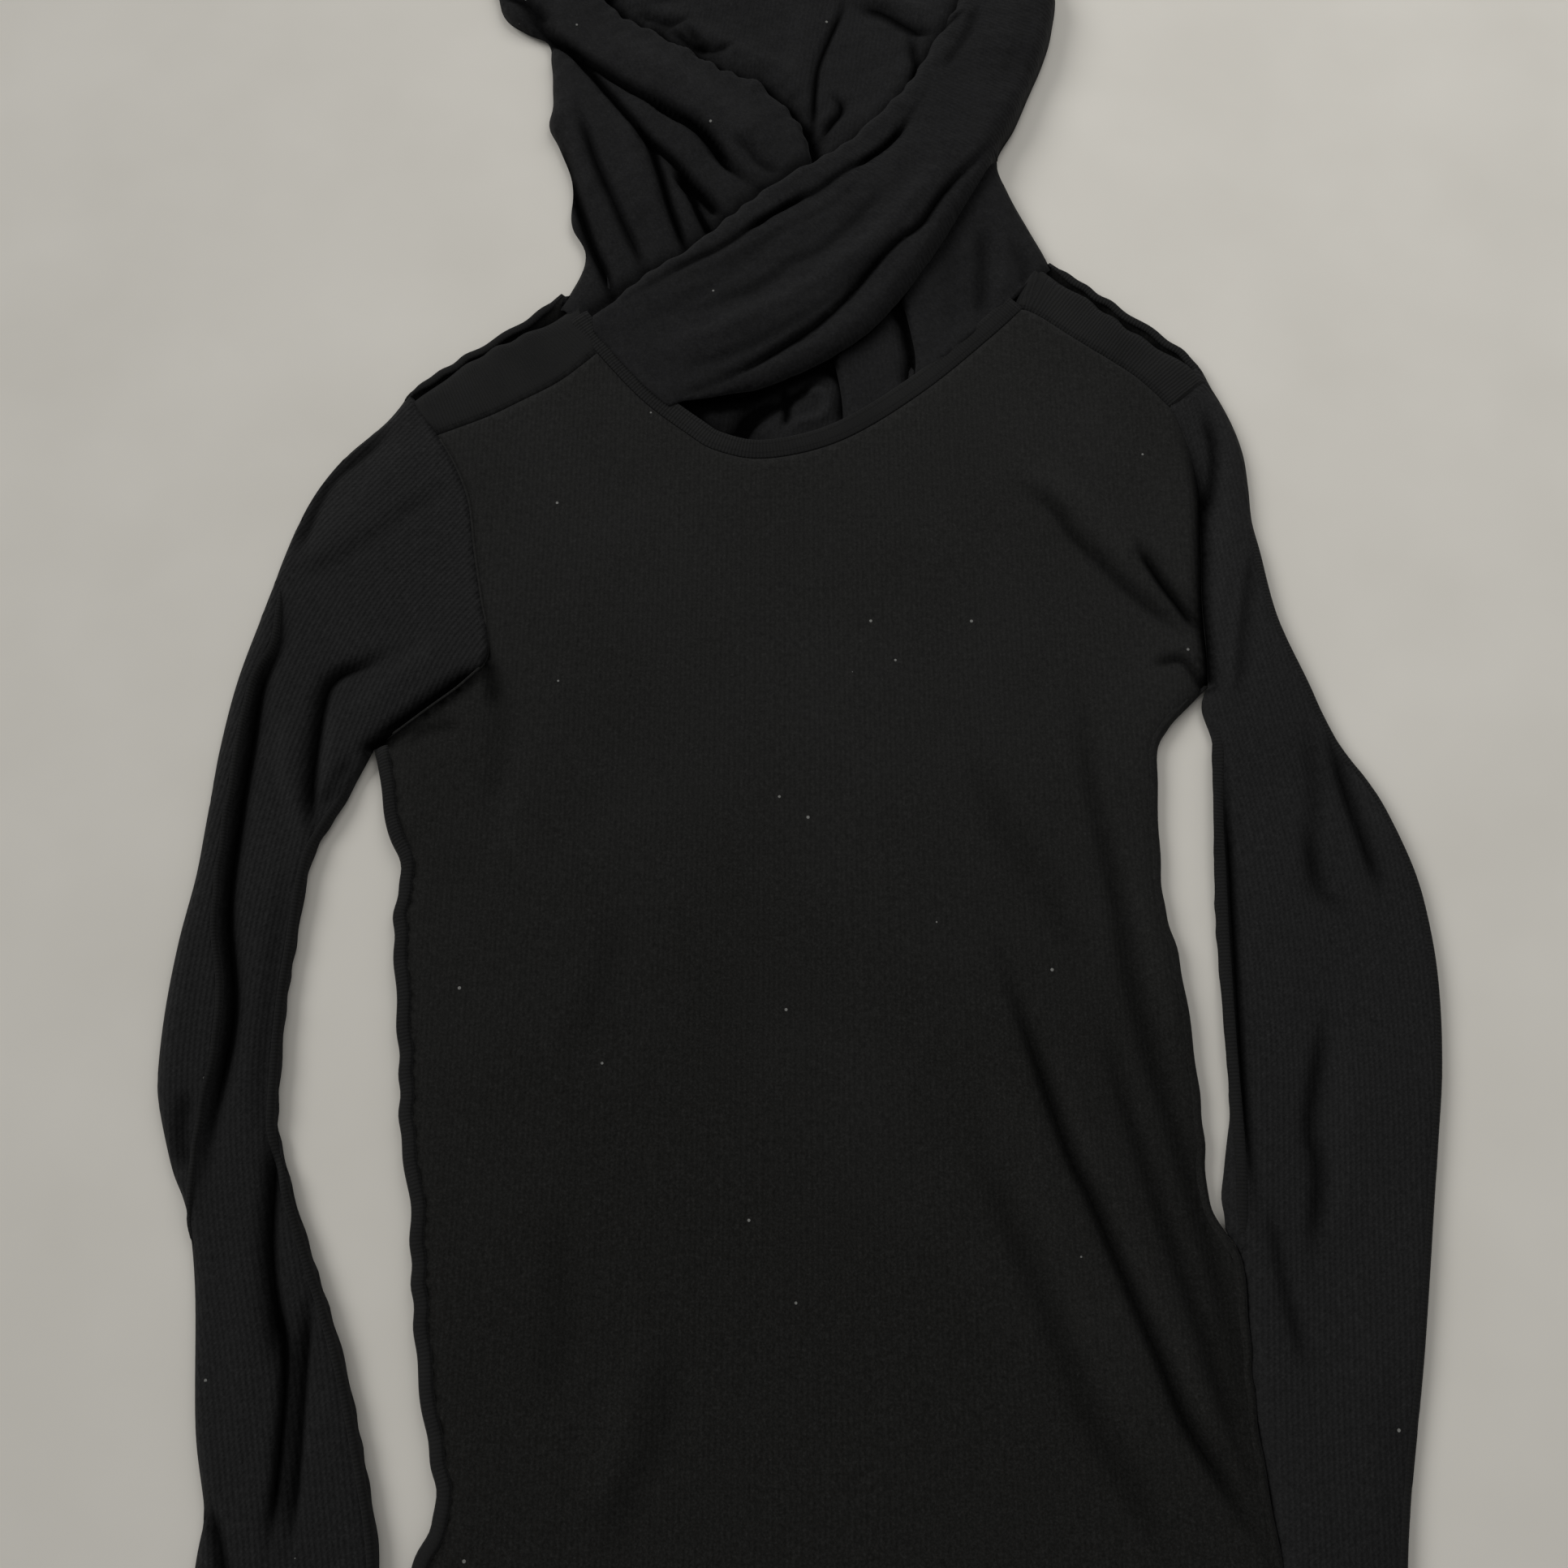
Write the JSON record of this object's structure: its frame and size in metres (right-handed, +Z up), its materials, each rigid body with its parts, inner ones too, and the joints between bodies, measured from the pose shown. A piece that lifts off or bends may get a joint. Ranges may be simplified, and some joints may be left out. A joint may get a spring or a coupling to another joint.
{
  "type": "hooded long-sleeved top with balaclava hood",
  "caption": "Black rib-knit long-sleeved top laid flat, with a crossover hood that wraps the neck and lower face like a balaclava; sleeves and hood fold over the front.",
  "frame": {"origin": "on the floor under the middle of the laid-out garment's box", "axes": "+Z up out of the front, +Y from the hem to the hood, +X towards the wearer's left sleeve"},
  "size_m": [0.655, 1.064, 0.0191],
  "materials": {
    "rib_knit": "matt black fine vertical rib knit",
    "hood_knit": "matt black rib knit, slightly cooler, in soft folds",
    "seam_knit": "matt black felled seams, binding and hems, lightly worn"
  },
  "bodies": {
    "torso": {"back_panel": "rib_knit", "front_panel": "rib_knit", "right_side_seam": "seam_knit", "left_side_seam": "seam_knit", "right_armhole_seam": "seam_knit", "left_armhole_seam": "seam_knit", "right_sleeve_cap": "rib_knit", "left_sleeve_cap": "rib_knit", "hem_band": "seam_knit", "right_shoulder_yoke": "seam_knit", "left_shoulder_yoke": "seam_knit", "neck_binding": "seam_knit", "back_neck_tape": "seam_knit", "hood_base": "hood_knit", "outer_wrap_end": "hood_knit", "outer_wrap_hem": "seam_knit", "under_wrap_end": "hood_knit"},
    "right_sleeve": {"right_sleeve_upper": "rib_knit", "right_sleeve_under": "rib_knit", "right_sleeve_outer_seam": "seam_knit", "right_sleeve_inner_seam": "seam_knit", "right_cuff": "seam_knit"},
    "left_sleeve": {"left_sleeve_upper": "rib_knit", "left_sleeve_under": "rib_knit", "left_sleeve_outer_seam": "seam_knit", "left_sleeve_inner_seam": "seam_knit", "left_cuff": "seam_knit"},
    "hood": {"hood_right_half": "hood_knit", "hood_left_half": "hood_knit", "hood_back_seam": "seam_knit", "right_face_hem": "seam_knit", "left_face_hem": "seam_knit"}
  },
  "joints": [
    {"name": "hood_fold", "type": "hinge", "parent": "torso", "child": "hood", "pos_m": [0, 0.234, 0.0215], "axis": [1, 0, 0], "range_deg": [0, 178]},
    {"name": "right_sleeve_fold", "type": "hinge", "parent": "torso", "child": "right_sleeve", "pos_m": [-0.274, 0.106, 0.0105], "axis": [-0.2004, 0.9797, 0], "range_deg": [0, 178]},
    {"name": "left_sleeve_fold", "type": "hinge", "parent": "torso", "child": "left_sleeve", "pos_m": [0.259, 0.1, 0.0105], "axis": [-0.2008, -0.9796, 0], "range_deg": [0, 178]}
  ]
}
